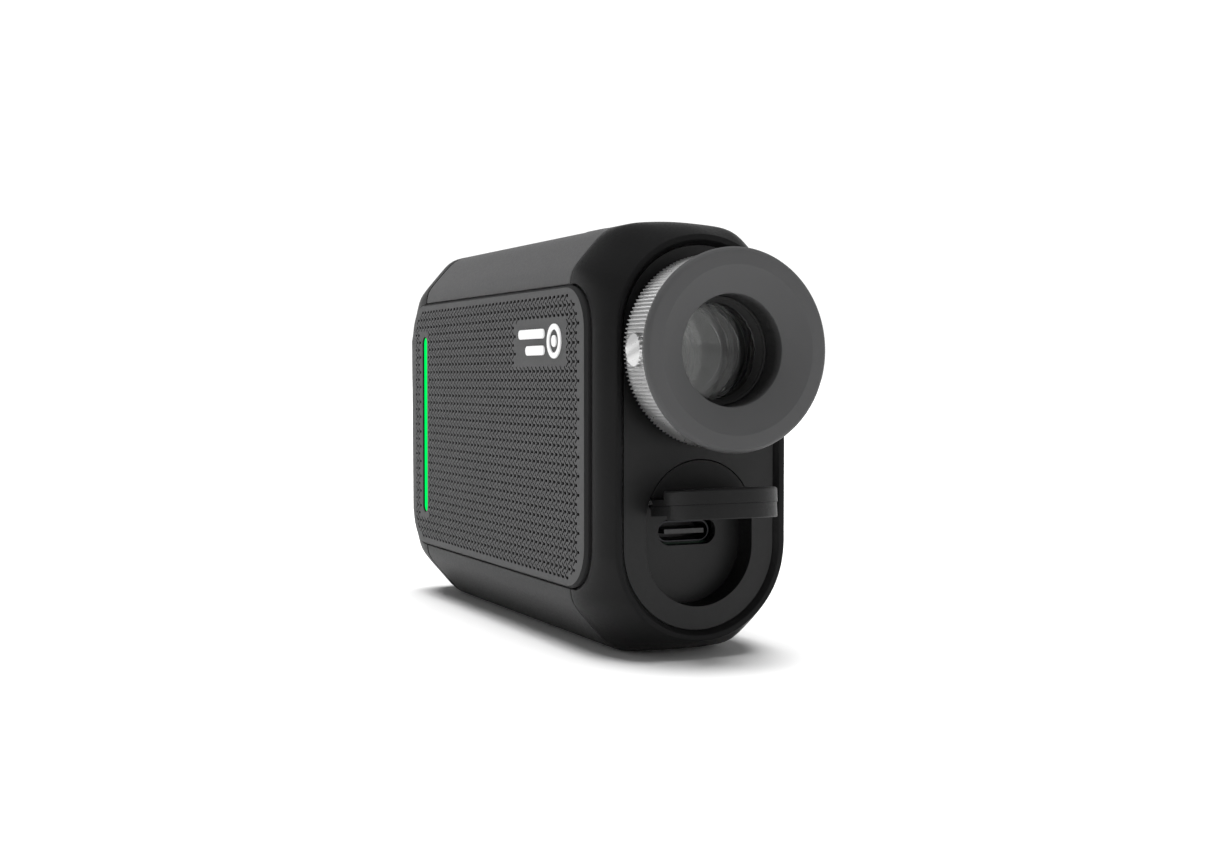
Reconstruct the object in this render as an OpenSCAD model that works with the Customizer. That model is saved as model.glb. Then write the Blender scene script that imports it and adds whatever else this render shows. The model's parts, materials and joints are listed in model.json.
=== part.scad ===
// Compact laser rangefinder: a slim upright monocular with a diopter eyepiece and a charging port at the rear,
// textured side panels, a light bar on the left side, and an objective with a laser window at the front.
// Row frame: X to the right, Y towards the target, Z up, origin at the middle of the base.
// Local frame of every module: y = 0 at the rear rim, z = 0 at mid height, x = 0 in the symmetry plane.

/* [Body] */
// Distance from the rear rim to the front rim
body_len = 93.84; // [92:0.01:110]
// Height over the top and bottom covers
body_h = 65.52; // [65:0.01:68]
// Width without the side panels
body_w = 31.32; // [31:0.01:33]
// Height of the arc centres of the rims above mid height
arc_z = 15.95; // [15:0.01:17]
// Radius of the rim at the rear and front ends
rim_r = 14.0; // [13.8:0.1:14.4]
// Angle of the flank's normal above the horizontal
flank_angle = 41.35; // [40:0.05:43]
// Distance of the flank from the arc centre
flank_reach = 17.64; // [17.2:0.01:18]
// Radius of the crowned top
crown_r = 39; // [36:1:60]
// Distance from each rim to its seam with the covers
seam_y = 12.76; // [12:0.01:13.5]
// Distance from the rim over which the sides reach full width
side_run = 4.7; // [4.6:0.1:5.6]
// Thickness of the covers, and of the shells under the side panels
wall = 1.4; // [1.2:0.05:1.5]
// Width of the open seams
seam_gap = 0.26; // [0.1:0.02:0.4]

/* [Side panels] */
// Distance from each rim to the edge of the panel opening
opening_y = 5.66; // [5.4:0.01:6]
// Half height of the panel opening
opening_z = 23; // [22:0.1:23.4]
// Corner radius of the panel opening
opening_r = 7.1; // [6:0.1:7.1]
// Height of the panels above the sides of the body
panel_proud = 0.64; // [0.3:0.02:1]
// Height of the light bar
light_h = 33; // [24:0.5:36]
// Width of the light bar
light_w = 2.4; // [1.6:0.1:2.6]
// Distance from the rear rim to the light bar's centre line
light_y = 80.4; // [79.5:0.1:81]

/* [Eyepiece] */
// Height of the optical axis above mid height
eye_z = 12.8; // [12.4:0.1:13]
// Radius over the knurled diopter ring
ring_r = 14.0; // [13.4:0.1:14.4]
// Number of knurls
knurls = 120; // [60:2:140]
// Radius of the eyecup
cup_r = 14.6; // [14.2:0.05:15]
// Distance that the eyecup stands out behind the rear rim
cup_out = 10.93; // [10.5:0.01:11.5]
// Radius of the eyecup's tunnel
tunnel_r = 8.05; // [8.03:0.01:8.1]
// Outer radius of the fixed eyepiece barrel
barrel_r = 11.5; // [11.4:0.05:11.5]
// Radius of the sliding lens cell
cell_r = 9.95; // [9.8:0.01:9.97]

/* [Charging port] */
// Radius of the port pocket's round ends
pocket_r = 8.8; // [8.7:0.05:9]
// Depth of the rear face behind the rim
face_y = 0.7; // [0.5:0.05:0.9]
// Depth of the pocket's floor behind the rim
floor_y = 4.8; // [4.55:0.01:4.8]
// Height of the connector's centre below mid height
port_drop = 14.2; // [14:0.1:14.4]
// Distance from the rear rim to the hinge axis of the port cover
hinge_y = 1.9; // [1.8:0.05:2]
// Height of the hinge axis below mid height
hinge_drop = 9.3; // [9.2:0.05:9.35]
// Rise of the open port cover above the horizontal
open_tilt = 5.4; // [0:0.1:6]
// Radius of the port cover's round end
flap_r = 8.5; // [8.3:0.05:8.5]
// Radius of the hinge pin
pin_r = 0.5; // [0.4:0.05:0.5]

/* [Buttons] */
// Distance from the rear rim to the fire button's centre
fire_y = 30; // [28:0.5:34]
// Distance from the rear rim to the mode button's centre
mode_y = 48; // [46:0.5:54]
// Length of the fire button
fire_len = 13; // [11:0.5:14]
// Width of the fire button
fire_w = 8; // [7:0.5:8]
// Radius of the mode button
mode_r = 3; // [2.5:0.1:3.4]
// Height of the buttons above the crown
button_proud = 0.35; // [0.2:0.05:0.5]

/* [Front optics] */
// Radius of the objective lens
objective_r = 10.4; // [9:0.1:10.4]
// Height of the laser axis below mid height
laser_drop = 12; // [11:0.1:13]
// Radius of the laser lens
laser_r = 6; // [5:0.1:6.2]

/* [Hidden] */
$fn = 96;

// Outline of the body
half_w = body_w / 2;
half_h = body_h / 2;
crown_rise = half_h - arc_z;
crown_off = crown_r - crown_rise;
softness = 34;
angle_step = 3;
// Ends of the parts along Y
skirt_end = 18;
inner_wall = 2 * wall;
panel_x = half_w + panel_proud;
panel_gap = 0.25;
ledge_y = face_y + 1.75;
gasket_y = 0.35;
seat_clear = 0.05;
ledge_r = 11.62;
plate_r = 12.45;
lip_r = 13.2;
// Centre of the port cover's round end when it stands open
flap_reach = 6.8;
flap_y = hinge_y - flap_reach;
hinge_z = -hinge_drop;
pocket_low = hinge_z - flap_reach;
pocket_high = -11.93;
anchor_z = -8.7;
lid_top = -7.75;
lid_split = -9.95;
seal_low = -12.15;
neck_top = -9.05;
neck_low = -11.4;
port_z = -port_drop;
laser_z = -laser_drop;
// Middle of the whole length, with the port cover standing open
mid_y = (body_len + flap_y - flap_r) / 2;

// ---- frames and plain shapes ----

// Carries a module from its local frame to the row frame
module place() {
    translate([0, -mid_y, half_h]) children();
}

// A flat outline in X and Z, made solid from y0 to y1
module slab(y0, y1) {
    translate([0, y1, 0]) rotate([90, 0, 0]) linear_extrude(y1 - y0) children();
}

// A flat outline in Y and Z, made solid from x0 to x1
module side_slab(x0, x1) {
    translate([x0, 0, 0]) rotate([90, 0, 90]) linear_extrude(x1 - x0) children();
}

// A round bar along Y
module rod(y0, y1, r, z = 0, x = 0) {
    translate([x, y0, z]) rotate([-90, 0, 0]) cylinder(h = y1 - y0, r = r);
}

// A round tube along Y
module tube(y0, y1, outer, inner, z = 0) {
    difference() {
        rod(y0, y1, outer, z);
        rod(y0 - 1, y1 + 1, inner, z);
    }
}

// A body of revolution about a line along Y; its outline holds radius and y
module spun(z = 0) {
    translate([0, 0, z]) rotate([-90, 0, 0]) rotate_extrude() children();
}

// A box from one corner to the other
module box(low, high) {
    translate(low) cube(high - low);
}

// A long round-ended outline, with its end centres at c0 and c1 on the second axis
module obround(r, c0, c1) {
    translate([0, c0]) circle(r);
    translate([0, c1]) circle(r);
    translate([-r, min(c0, c1)]) square([2 * r, abs(c1 - c0)]);
}

// The same, lying along the first axis, with its middle at the origin
module flat_obround(length, height) {
    rotate(90) obround(height / 2, -(length - height) / 2, (length - height) / 2);
}

// A rectangle with round corners
module round_rect(low, high, r) {
    for (x = [low.x + r, high.x - r], y = [low.y + r, high.y - r]) {
        translate([x, y]) circle(r);
    }
    translate([low.x + r, low.y]) square([high.x - low.x - 2 * r, high.y - low.y]);
    translate([low.x, low.y + r]) square([high.x - low.x, high.y - low.y - 2 * r]);
}

// A screw along Z with its head's underside at z and its shank pointing along dir
module screw(x, y, z, dir, shank = 2.4) {
    translate([x, y, z]) mirror([0, 0, dir > 0 ? 0 : 1]) {
        translate([0, 0, -1]) cylinder(h = 1, r = 1.4);
        cylinder(h = shank, r = 0.8);
    }
}

// ---- outline of the body ----

// Reach from the arc centre: a soft least of the side, the flank and the crown; the underside is flat
function crown_at(c, s, up) =
    up ? sqrt(crown_r * crown_r - pow(crown_off * c, 2)) - crown_off * s : crown_rise / s;
function reach(a) =
    let (c = max(abs(cos(a)), 0.001), s = max(abs(sin(a)), 0.001))
    let (lean = atan2(s, c) - flank_angle)
    pow(
        pow(half_w / c, -softness)
        + pow(flank_reach / cos(lean), -softness)
        + pow(crown_at(c, s, a < 180), -softness),
        -1 / softness
    );

// How far the loft has come from the rim to the full outline at a depth y
function run(a) = side_run + (seam_y - side_run) * min(1, abs(sin(a)) / 0.55);
function eased(a, y) = 1 - pow(1 - min(1, y / run(a)), 2);
function lofted(a, y) = rim_r + eased(a, y) * (reach(a) - rim_r);

// Closed outline, counted from the right side over the top
function outline_at(y, inset) = [
    for (half = [0, 1], a = [0 : angle_step : 180])
        let (t = a + 180 * half, r = lofted(t, y) - inset)
        [r * cos(t), (half == 0 ? arc_z : -arc_z) + r * sin(t)]
];

module outline(inset) {
    polygon(outline_at(seam_y, inset));
}

// Solid between the rim and the seam: rings joined by triangles, each end closed by a fan from its middle
module end_loft() {
    depths = [0, 0.9, 1.9, 2.9, 3.9, 4.7, 6.2, 8, 10.3, seam_y - seam_gap / 2];
    rings = [for (y = depths) [for (p = outline_at(y, 0)) [p.x, y, p.y]]];
    n = len(rings[0]);
    last = (len(depths) - 1) * n;
    middle = len(depths) * n;
    polyhedron(
        points = concat([for (ring = rings) each ring], [[0, 0, 0], [0, depths[len(depths) - 1], 0]]),
        faces = concat(
            [for (i = [0 : n - 1]) [middle, (i + 1) % n, i]],
            [for (i = [0 : n - 1]) [middle + 1, last + i, last + (i + 1) % n]],
            [
                for (k = [0 : len(depths) - 2], i = [0 : n - 1])
                    let (a = k * n + i, b = k * n + (i + 1) % n)
                    each [[a, b, b + n], [a, b + n, a + n]]
            ]
        )
    );
}

// Stadium-shaped cut that narrows from the lip to the face plate's seat
module lip_chamfer() {
    drop = face_y + 0.01;
    for (z = [-arc_z, arc_z]) {
        translate([0, -0.01, z]) rotate([-90, 0, 0]) cylinder(h = drop, r1 = lip_r, r2 = plate_r);
    }
    translate([0, 0, -arc_z]) linear_extrude(2 * arc_z) {
        polygon([[-lip_r, -0.01], [lip_r, -0.01], [plate_r, face_y], [-plate_r, face_y]]);
    }
}

// Recess that takes one side panel, from the side's plane outwards
module panel_recess(side) {
    x0 = side > 0 ? half_w - wall : -half_w - 2;
    side_slab(x0, x0 + wall + 2) {
        round_rect([opening_y, -opening_z], [body_len - opening_y, opening_z], opening_r);
    }
}

// End shell with its rim, its face plate's seat and a skirt under the covers
module end_shell() {
    difference() {
        union() {
            end_loft();
            slab(seam_y - 1, skirt_end) outline(wall);
        }
        lip_chamfer();
        slab(face_y - 0.01, ledge_y + gasket_y) obround(plate_r + seat_clear, -arc_z, arc_z);
        slab(ledge_y, 4.6) obround(ledge_r, -arc_z, arc_z);
        slab(4.5, skirt_end + 1) outline(inner_wall);
        panel_recess(-1);
        panel_recess(1);
    }
}

module mirrored_front() {
    translate([0, body_len, 0]) mirror([0, 1, 0]) children();
}

// ---- casing ----

module rear_housing() {
    color([0.12, 0.12, 0.12]) place() end_shell();
}

module front_housing() {
    color([0.12, 0.12, 0.12]) place() difference() {
        mirrored_front() end_shell();
        side_slab(-half_w, -half_w + inner_wall + 1) translate([light_y, 0]) {
            obround(light_w / 2 + 0.15, -light_h / 2 + light_w / 2, light_h / 2 - light_w / 2);
        }
    }
}

// Long cover that closes the top or the bottom between the two seams
module cover_blank(side) {
    intersection() {
        slab(seam_y + seam_gap / 2, body_len - seam_y - seam_gap / 2) difference() {
            outline(0);
            outline(wall);
        }
        box(
            [-half_w, 0, side > 0 ? opening_z : -half_h - 1],
            [half_w, body_len, side > 0 ? half_h + 1 : -opening_z]
        );
    }
}

module fire_hole(grow, z0, z1) {
    translate([0, fire_y, z0]) linear_extrude(z1 - z0) {
        rotate(90) flat_obround(fire_len + 2 * grow, fire_w + 2 * grow);
    }
}

module mode_hole(grow, z0, z1) {
    translate([0, mode_y, z0]) cylinder(h = z1 - z0, r = mode_r + grow);
}

module top_cover() {
    color([0.32, 0.32, 0.32]) place() difference() {
        cover_blank(1);
        fire_hole(0.15, half_h - 4, half_h + 1);
        mode_hole(0.15, half_h - 4, half_h + 1);
    }
}

module bottom_cover() {
    color([0.32, 0.32, 0.32]) place() cover_blank(-1);
}

// Inner tube that carries the covers, the optics and the boards, with a rail along each side
rail_top = 1;
rail_low = -2.4;
prism_screw_y = [26, 44];
board_screw_y = [32, 52];
screw_x = 11.2;

module chassis() {
    color([0.2, 0.2, 0.22]) place() difference() {
        union() {
            slab(skirt_end + 0.1, body_len - skirt_end - 0.1) difference() {
                outline(wall);
                outline(inner_wall);
            }
            for (side = [-1, 1]) {
                box(
                    [side > 0 ? 9.6 : -half_w + wall + 0.1, 21, rail_low],
                    [side > 0 ? half_w - wall - 0.1 : -9.6, 61, rail_top]
                );
            }
        }
        panel_recess(-1);
        panel_recess(1);
        fire_hole(1.3, arc_z + 5, half_h);
        mode_hole(1.3, arc_z + 5, half_h);
        for (x = [-screw_x, screw_x]) {
            for (y = prism_screw_y) {
                translate([x, y, rail_top - 1.4]) cylinder(h = 2, r = 0.8);
            }
            for (y = board_screw_y) {
                translate([x, y, rail_low - 1]) cylinder(h = 2.4, r = 0.8);
            }
        }
    }
}

// Side panel with a softened edge
module panel_blank(side) {
    low = [opening_y + panel_gap, -opening_z + panel_gap];
    high = [body_len - opening_y - panel_gap, opening_z - panel_gap];
    r = opening_r - panel_gap;
    edge = 0.45;
    foot = half_w - wall;
    mirror([side > 0 ? 0 : 1, 0, 0]) hull() {
        side_slab(foot, panel_x - edge) round_rect(low, high, r, $fn = 48);
        side_slab(panel_x - 0.02, panel_x) {
            round_rect(low + [edge, edge], high - [edge, edge], r - edge, $fn = 48);
        }
    }
}

badge_y = 23.1;
badge_z = 14.5;
badge_len = 18;
badge_h = 6;
badge_depth = 0.4;
badge_proud = 0.25;

module badge_outline(grow = 0) {
    translate([badge_y, badge_z]) flat_obround(badge_len + 2 * grow, badge_h + 2 * grow);
}

module left_panel() {
    color([0.3, 0.3, 0.3]) place() difference() {
        panel_blank(-1);
        side_slab(-panel_x - 1, -half_w + wall + 1) translate([light_y, 0]) {
            obround(light_w / 2 + 0.1, -light_h / 2 + light_w / 2, light_h / 2 - light_w / 2);
        }
        side_slab(-panel_x - 1, -panel_x + badge_depth) badge_outline(0.02);
    }
}

module right_panel() {
    color([0.3, 0.3, 0.3]) place() panel_blank(1);
}

module light_bar() {
    color([0.0, 0.9, 0.4]) place() side_slab(-panel_x + 0.25, -half_w + 2.3) translate([light_y, 0]) {
        obround(light_w / 2, -light_h / 2 + light_w / 2, light_h / 2 - light_w / 2);
    }
}

module led_board() {
    color([0.1, 0.35, 0.2]) place() {
        inner = -half_w + inner_wall;
        box([inner + 0.05, light_y - 1.7, -17], [inner + 0.6, light_y + 1.7, 17]);
        for (k = [-2 : 2]) {
            box([inner - 0.35, light_y - 0.7, 6 * k - 0.8], [inner + 0.05, light_y + 0.7, 6 * k + 0.8]);
        }
    }
}

module badge() {
    color([0.95, 0.95, 0.95]) place() side_slab(-panel_x - badge_proud, -panel_x + badge_depth) {
        badge_outline();
    }
}

// ---- rear face, charging port and its cover ----

module pocket_outline(grow = 0) {
    obround(pocket_r + grow, pocket_low, pocket_high);
}

module rear_face_plate() {
    color([0.14, 0.14, 0.14]) place() difference() {
        union() {
            slab(face_y, ledge_y) obround(plate_r, -arc_z, arc_z);
            slab(face_y, floor_y + 1.3) pocket_outline(1.3);
        }
        slab(face_y - 1, floor_y) pocket_outline();
        slab(floor_y - 1, floor_y + 3) translate([0, port_z]) flat_obround(9.7, 3.9);
        rod(face_y - 1, ledge_y + 1, barrel_r + seat_clear, eye_z);
        translate([-9.6, hinge_y, hinge_z]) rotate([0, 90, 0]) cylinder(h = 19.2, r = pin_r + 0.01);
    }
}

module face_gasket() {
    slab(ledge_y, ledge_y + gasket_y) difference() {
        obround(plate_r - 0.1, -arc_z, arc_z);
        obround(ledge_r + 0.05, -arc_z, arc_z);
    }
}

module rear_gasket() {
    color([0.5, 0.15, 0.12]) place() face_gasket();
}

module front_gasket() {
    color([0.5, 0.15, 0.12]) place() mirrored_front() face_gasket();
}

// Fixed upper part of the port cover, which fills the top of the pocket
module port_anchor() {
    color([0.15, 0.15, 0.15]) place() difference() {
        slab(face_y, floor_y) intersection() {
            pocket_outline(-0.08);
            translate([-10, anchor_z]) square([20, 8]);
        }
        translate([-10, hinge_y, hinge_z]) rotate([0, 90, 0]) cylinder(h = 20, r = 1.2);
    }
}

// Half disc with its round end towards -Y
module half_disc(r, z0, z1) {
    intersection() {
        translate([0, flap_y, z0]) cylinder(h = z1 - z0, r = r);
        box([-r, flap_y - r, z0], [r, flap_y, z1]);
    }
}

// Turns the port cover about its hinge, from level to its open position
module opened() {
    translate([0, hinge_y, hinge_z]) rotate([-open_tilt, 0, 0]) translate([0, -hinge_y, -hinge_z]) {
        children();
    }
}

module port_lid() {
    color([0.2, 0.2, 0.2]) place() opened() {
        half_disc(flap_r, lid_split, lid_top);
        box([-flap_r + 0.05, flap_y - 1, lid_split], [flap_r - 0.05, -0.1, neck_top]);
    }
}

module port_seal() {
    color([0.16, 0.16, 0.16]) place() opened() difference() {
        union() {
            half_disc(flap_r - 0.1, seal_low, lid_split);
            box([-flap_r + 0.05, flap_y - 1, neck_low], [flap_r - 0.05, -0.1, lid_split]);
            box([-7.6, -0.2, neck_low + 0.9], [7.6, hinge_y, lid_split]);
            translate([-7.6, hinge_y, hinge_z]) rotate([0, 90, 0]) cylinder(h = 15.2, r = 1);
        }
        translate([-9, hinge_y, hinge_z]) rotate([0, 90, 0]) cylinder(h = 18, r = pin_r + 0.05);
    }
}

module port_pin() {
    color([0.7, 0.7, 0.72]) place() translate([-9.5, hinge_y, hinge_z]) rotate([0, 90, 0]) {
        cylinder(h = 19, r = pin_r);
    }
}

// ---- eyepiece ----

ring_y0 = -8.3;
ring_y1 = -2.3;
sleeve_r = 8.9;
sleeve_end = -2.6;
barrel_end = 14;

module eyepiece_barrel() {
    color([0.1, 0.1, 0.1]) place() difference() {
        union() {
            rod(-7, barrel_end, barrel_r, eye_z);
            rod(ring_y1 + 0.15, face_y, 12.3, eye_z);
        }
        rod(-8, barrel_end + 1, cell_r + 0.05, eye_z);
    }
}

// Outline of the knurled ring: one peak and one valley for each knurl
function knurl_points(depth) = [
    for (i = [0 : 2 * knurls - 1])
        let (r = ring_r - depth * (i % 2))
        [r * cos(180 * i / knurls), r * sin(180 * i / knurls)]
];

module diopter_ring() {
    color([0.6, 0.6, 0.6]) place() translate([0, 0, eye_z]) difference() {
        union() {
            slab(ring_y0, ring_y1) polygon(knurl_points(0.25));
            intersection() {
                rod(ring_y0, ring_y1, ring_r + 0.15);
                side_slab(-ring_r - 1, -ring_r + 2) translate([-5.8, 0]) obround(2, -0.55, 0.55);
            }
        }
        rod(ring_y0 + 1.1, ring_y1 + 1, barrel_r + 0.05);
        rod(ring_y0 - 1, ring_y1, sleeve_r);
    }
}

// Soft cup with a rounded rim, a conical dish and a sleeve that covers the lens cell's nose
module eyecup() {
    front = -cup_out;
    color([0.33, 0.33, 0.33]) place() spun(eye_z) polygon([
        [sleeve_r, sleeve_end], [sleeve_r, ring_y0], [13.3, ring_y0], [13.3, ring_y0 - 0.5],
        [cup_r - 0.4, ring_y0 - 0.5], [cup_r - 0.1, ring_y0 - 1.2], [cup_r, front + 0.8],
        [cup_r - 0.2, front + 0.3], [cup_r - 0.55, front + 0.05], [cup_r - 1, front], [12.06, front],
        [tunnel_r, front + 1.91], [tunnel_r - 0.1, sleeve_end]
    ]);
}

nose_r = 7.85;
nose_y = -4.93;
lens_bore = 7.5;
shoulder_y = -0.4;
cell_end = 12.4;

module eye_lens_cell() {
    color([0.12, 0.12, 0.12]) place() spun(eye_z) polygon([
        [lens_bore, nose_y], [nose_r, nose_y], [nose_r, shoulder_y], [cell_r, shoulder_y], [cell_r, cell_end],
        [8.6, cell_end], [8.6, 3], [6.9, 1], [6.9, -1.6], [lens_bore, -1.6]
    ]);
}

// Outline of a lens: two crowned faces with a straight rim between them
function lens_arc(r, y, bulge) = [
    for (k = [0 : 12])
        let (x = r * k / 12)
        [x, y + bulge * (1 - x * x / (r * r))]
];

module lens(r, y0, y1, bulge0, bulge1) {
    front = lens_arc(r, y1, bulge1);
    back = lens_arc(r, y0, -bulge0);
    polygon(concat(back, [for (k = [12 : -1 : 0]) front[k]]));
}

module eye_lens() {
    color([0.6, 0.7, 0.75, 0.5]) place() spun(eye_z) lens(lens_bore - 0.05, -3, -1.66, 1.4, 0.3);
}

module eye_lens_retainer() {
    color([0.1, 0.1, 0.1]) place() spun(eye_z) {
        polygon([[7.4, nose_y + 0.33], [lens_bore, nose_y + 0.33], [lens_bore, -3.2], [7, -3.2]]);
    }
}

module field_lens() {
    color([0.6, 0.7, 0.75, 0.5]) place() spun(eye_z) lens(8.6, 6, 8.4, 1.6, 1.2);
}

// ---- viewing optics ----

prism_base = 2.2;
holder_x = 12.4;

module display_glass() {
    color([0.5, 0.6, 0.6, 0.5]) place() rod(20, 21.2, 8.5, eye_z);
}

module prism_holder() {
    color([0.16, 0.16, 0.17]) place() difference() {
        union() {
            box([-holder_x, 19, rail_top], [holder_x, 50, prism_base]);
            box([-11.2, 19, rail_top], [11.2, 22.4, 23.4]);
            box([-11.2, 46.6, rail_top], [11.2, 50, 23.4]);
            for (x = [-9.75, 8.7]) {
                box([x, 22.4, rail_top], [x + 1.05, 46.6, 9]);
            }
        }
        rod(18, 52, 7.6, eye_z);
        rod(20, 21.2, 8.5, eye_z);
        translate([0, 34, 0]) cylinder(h = 4, r = 3);
        for (x = [-screw_x, screw_x], y = prism_screw_y) {
            translate([x, y, 0]) cylinder(h = 4, r = 0.8);
        }
    }
}

// Roof prism: a block with its two upper edges cut at 45 degrees
module prism_block() {
    color([0.75, 0.8, 0.85, 0.6]) place() side_slab(-8.6, 8.6) polygon([
        [22.6, prism_base + 0.1], [46.4, prism_base + 0.1], [46.4, 17], [41.4, 22], [27.6, 22], [22.6, 17]
    ]);
}

module prism_screws() {
    color([0.6, 0.6, 0.62]) place() for (x = [-screw_x, screw_x], y = prism_screw_y) {
        screw(x, y, prism_base, -1);
    }
}

front_plate_y = body_len - face_y;
front_back_y = body_len - ledge_y;
objective_end = front_back_y - 0.1;
bulkhead_y = 64.4;

module objective_barrel() {
    color([0.12, 0.12, 0.12]) place() difference() {
        rod(53, objective_end, 11.5, eye_z);
        rod(52, objective_end - 8, objective_r - 0.8, eye_z);
        rod(objective_end - 8.01, objective_end + 1, objective_r, eye_z);
    }
}

module objective_lens() {
    color([0.5, 0.65, 0.75, 0.5]) place() spun(eye_z) {
        lens(objective_r - 0.03, objective_end - 7.95, objective_end - 4.4, 0.2, 1.5);
    }
}

module objective_retainer() {
    color([0.1, 0.1, 0.1]) place() spun(eye_z) polygon([
        [objective_r - 0.7, objective_end - 4.1], [objective_r, objective_end - 4.4],
        [objective_r, objective_end], [objective_r - 0.2, objective_end]
    ]);
}

module optics_bulkhead() {
    color([0.18, 0.18, 0.2]) place() difference() {
        slab(bulkhead_y, bulkhead_y + 2) outline(inner_wall);
        rod(bulkhead_y - 1, bulkhead_y + 3, 11.53, eye_z);
        rod(bulkhead_y - 1, bulkhead_y + 3, 7.23, laser_z);
    }
}

module front_face_plate() {
    color([0.14, 0.14, 0.14]) place() difference() {
        slab(front_back_y, front_plate_y) obround(plate_r, -arc_z, arc_z);
        spun(eye_z) polygon([
            [0, front_back_y - 1], [objective_r - 0.1, front_back_y - 1], [objective_r - 0.1, front_back_y + 0.6],
            [objective_r + 0.9, front_plate_y + 0.1], [0, front_plate_y + 0.1]
        ]);
        spun(laser_z) polygon([
            [0, front_back_y - 1], [laser_r - 0.1, front_back_y - 1], [laser_r - 0.1, front_back_y + 0.6],
            [laser_r + 0.9, front_plate_y + 0.1], [0, front_plate_y + 0.1]
        ]);
    }
}

// ---- laser and receiver ----

module laser_barrel() {
    color([0.12, 0.12, 0.12]) place() difference() {
        rod(bulkhead_y, objective_end, 7.2, laser_z);
        rod(bulkhead_y + 4, objective_end - 6, laser_r - 0.8, laser_z);
        rod(objective_end - 6.01, objective_end + 1, laser_r, laser_z);
        rod(bulkhead_y - 1, bulkhead_y + 5, 2.8, laser_z);
    }
}

module laser_lens() {
    color([0.6, 0.45, 0.5, 0.5]) place() spun(laser_z) {
        lens(laser_r - 0.03, objective_end - 5.95, objective_end - 3.4, 0.1, 0.9);
    }
}

module laser_retainer() {
    color([0.1, 0.1, 0.1]) place() spun(laser_z) polygon([
        [laser_r - 0.6, objective_end - 3.2], [laser_r, objective_end - 3.4], [laser_r, objective_end],
        [laser_r - 0.2, objective_end]
    ]);
}

// Metal can with a window and three legs
module laser_diode() {
    color([0.8, 0.7, 0.4]) place() {
        rod(bulkhead_y, bulkhead_y + 3.6, 2.8, laser_z);
        for (k = [0 : 2]) {
            rod(
                bulkhead_y - 2.6, bulkhead_y + 0.1, 0.25,
                laser_z + 1.2 * sin(120 * k + 90), 1.2 * cos(120 * k + 90)
            );
        }
    }
}

module receiver() {
    color([0.7, 0.7, 0.72]) place() translate([0, 34, rail_low]) {
        cylinder(h = 0.6, r = 3.4);
        cylinder(h = 3.2, r = 2.7);
    }
}

// ---- boards, connector and battery ----

module main_board() {
    color([0.08, 0.3, 0.18]) place() difference() {
        union() {
            box([-12.2, 22, rail_low - 1.2], [12.2, 60, rail_low]);
            box([-6, 26, rail_low - 2.2], [2, 34, rail_low - 1.2]);
            box([-4, 42, rail_low - 2.4], [6, 52, rail_low - 1.2]);
        }
        for (x = [-screw_x, screw_x], y = board_screw_y) {
            translate([x, y, rail_low - 2]) cylinder(h = 3, r = 0.8);
        }
    }
}

module board_screws() {
    color([0.6, 0.6, 0.62]) place() for (x = [-screw_x, screw_x], y = board_screw_y) {
        screw(x, y, rail_low - 1.2, 1);
    }
}

usb_y = 5.0;
usb_len = 7.35;

module usb_board() {
    color([0.08, 0.3, 0.18]) place() box([-8.6, floor_y + 1.5, port_z - 2.5], [8.6, 21, port_z - 1.63]);
}

module usb_shell() {
    color([0.75, 0.75, 0.77]) place() translate([0, 0, port_z]) difference() {
        slab(usb_y, usb_y + usb_len) flat_obround(8.94, 3.26);
        slab(usb_y - 1, usb_y + usb_len - 0.3) flat_obround(8.34, 2.66);
    }
}

module usb_tongue() {
    color([0.1, 0.1, 0.1]) place() translate([0, 0, port_z]) {
        slab(usb_y + 0.8, usb_y + usb_len - 0.3) translate([-3.35, -0.35]) square([6.7, 0.7]);
        slab(usb_y + usb_len - 2, usb_y + usb_len - 0.3) flat_obround(8.3, 2.6);
    }
}

tray_low = -24;
tray_floor = -22.4;

module battery_tray() {
    color([0.2, 0.2, 0.22]) place() difference() {
        box([-10.6, 22.4, tray_low], [10.6, 63.6, -13]);
        box([-9.3, 23.8, tray_floor], [9.3, 62.2, -12]);
    }
}

module battery() {
    color([0.25, 0.4, 0.6]) place() side_slab(-9, 9) round_rect([24.2, tray_floor], [61.8, -9.6], 1.5);
}

module battery_pad() {
    color([0.4, 0.4, 0.4]) place() box([-6, 26, -29.9], [6, 60, tray_low]);
}

// ---- buttons ----

button_board_z = 25.2;
switch_top = 28.1;
stem_low = 28.75;
flange_z = 29.9;

module button_board() {
    color([0.08, 0.3, 0.18]) place() box([-6.5, 24, button_board_z], [6.5, 54, button_board_z + 0.8]);
}

module button_switches() {
    color([0.7, 0.7, 0.72]) place() for (y = [fire_y, mode_y]) {
        box([-2.6, y - 2.6, button_board_z + 0.8], [2.6, y + 2.6, switch_top - 0.6]);
        translate([0, y, switch_top - 0.7]) cylinder(h = 0.7, r = 1.2);
    }
}

// Part of a prism that lies under a surface a little above the crown
module under_crown(proud) {
    intersection() {
        children();
        slab(fire_y - fire_len, mode_y + fire_len) translate([0, proud]) outline(0);
    }
}

module fire_button() {
    color([0.45, 0.45, 0.45]) place() {
        under_crown(button_proud) fire_hole(0, flange_z, half_h + 2);
        fire_hole(0.9, flange_z, flange_z + 0.7);
        translate([0, fire_y, stem_low]) cylinder(h = 1.5, r = 1.5);
    }
}

module mode_button() {
    color([0.45, 0.45, 0.45]) place() {
        under_crown(button_proud) mode_hole(0, flange_z, half_h + 2);
        mode_hole(0.9, flange_z, flange_z + 0.7);
        translate([0, mode_y, stem_low]) cylinder(h = 1.5, r = 1.5);
    }
}

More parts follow.
